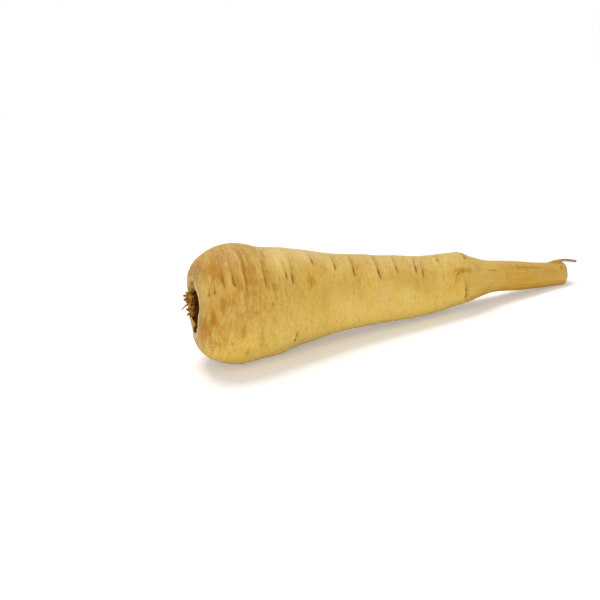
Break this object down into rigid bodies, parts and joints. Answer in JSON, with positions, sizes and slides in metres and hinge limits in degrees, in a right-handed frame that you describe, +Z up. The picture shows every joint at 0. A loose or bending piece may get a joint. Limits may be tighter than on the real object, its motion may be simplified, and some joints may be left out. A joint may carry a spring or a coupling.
{
  "type": "parsnip",
  "caption": "Washed parsnip lying on its side, with a broad shoulder, a dished crown holding dry stalk stubs, a stepped taper and a thin cut tail.",
  "frame": {"origin": "middle of the part's box, on the surface that it lies on", "axes": "+X along the root from its crown to its cut tail, +Z up from the surface it lies on"},
  "size_m": [0.2164, 0.0656, 0.064],
  "materials": {
    "root_skin": "waxy cream-yellow root skin with tan mottling and brown scars",
    "dry_stalk": "dry fibrous brown leaf stalk",
    "dry_heart": "dark dry bud"
  },
  "bodies": {
    "root": {"taproot": "root_skin", "crown_heart": "dry_heart", "stalk_stub_inner_1": "dry_stalk", "stalk_stub_inner_2": "dry_stalk", "stalk_stub_inner_3": "dry_stalk", "stalk_stub_outer_1": "dry_stalk", "stalk_stub_outer_2": "dry_stalk", "stalk_stub_outer_3": "dry_stalk", "stalk_stub_outer_4": "dry_stalk", "stalk_stub_outer_5": "dry_stalk"}
  },
  "joints": []
}
